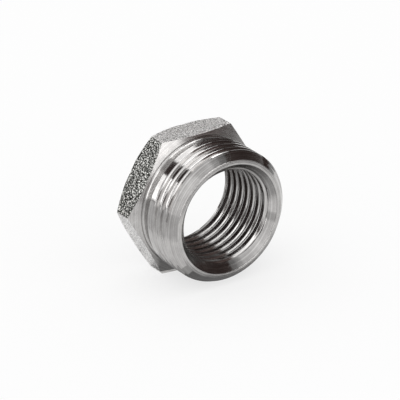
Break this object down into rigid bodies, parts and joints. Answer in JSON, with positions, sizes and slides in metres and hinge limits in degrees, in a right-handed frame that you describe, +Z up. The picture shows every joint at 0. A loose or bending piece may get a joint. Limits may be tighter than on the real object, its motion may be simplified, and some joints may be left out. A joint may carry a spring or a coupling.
{
  "type": "hex bushing",
  "caption": "Hex reducing bushing: a short hexagon head with a male pipe thread on its nose and a smaller female pipe thread through it, to join two pipe sizes.",
  "frame": {"origin": "on the axis of the bore, in the plane of the hexagon's front face, where the thread is screwed home", "axes": "+X along the axis towards the nose with the male thread, +Z up with one flat of the hexagon facing straight down, +Y across to a corner of the hexagon"},
  "size_m": [0.0156, 0.031, 0.027],
  "materials": {
    "steel": "stainless steel: grainy cast flats, turned faces and threads"
  },
  "bodies": {
    "root": {"hex_bushing": "steel"}
  },
  "joints": []
}
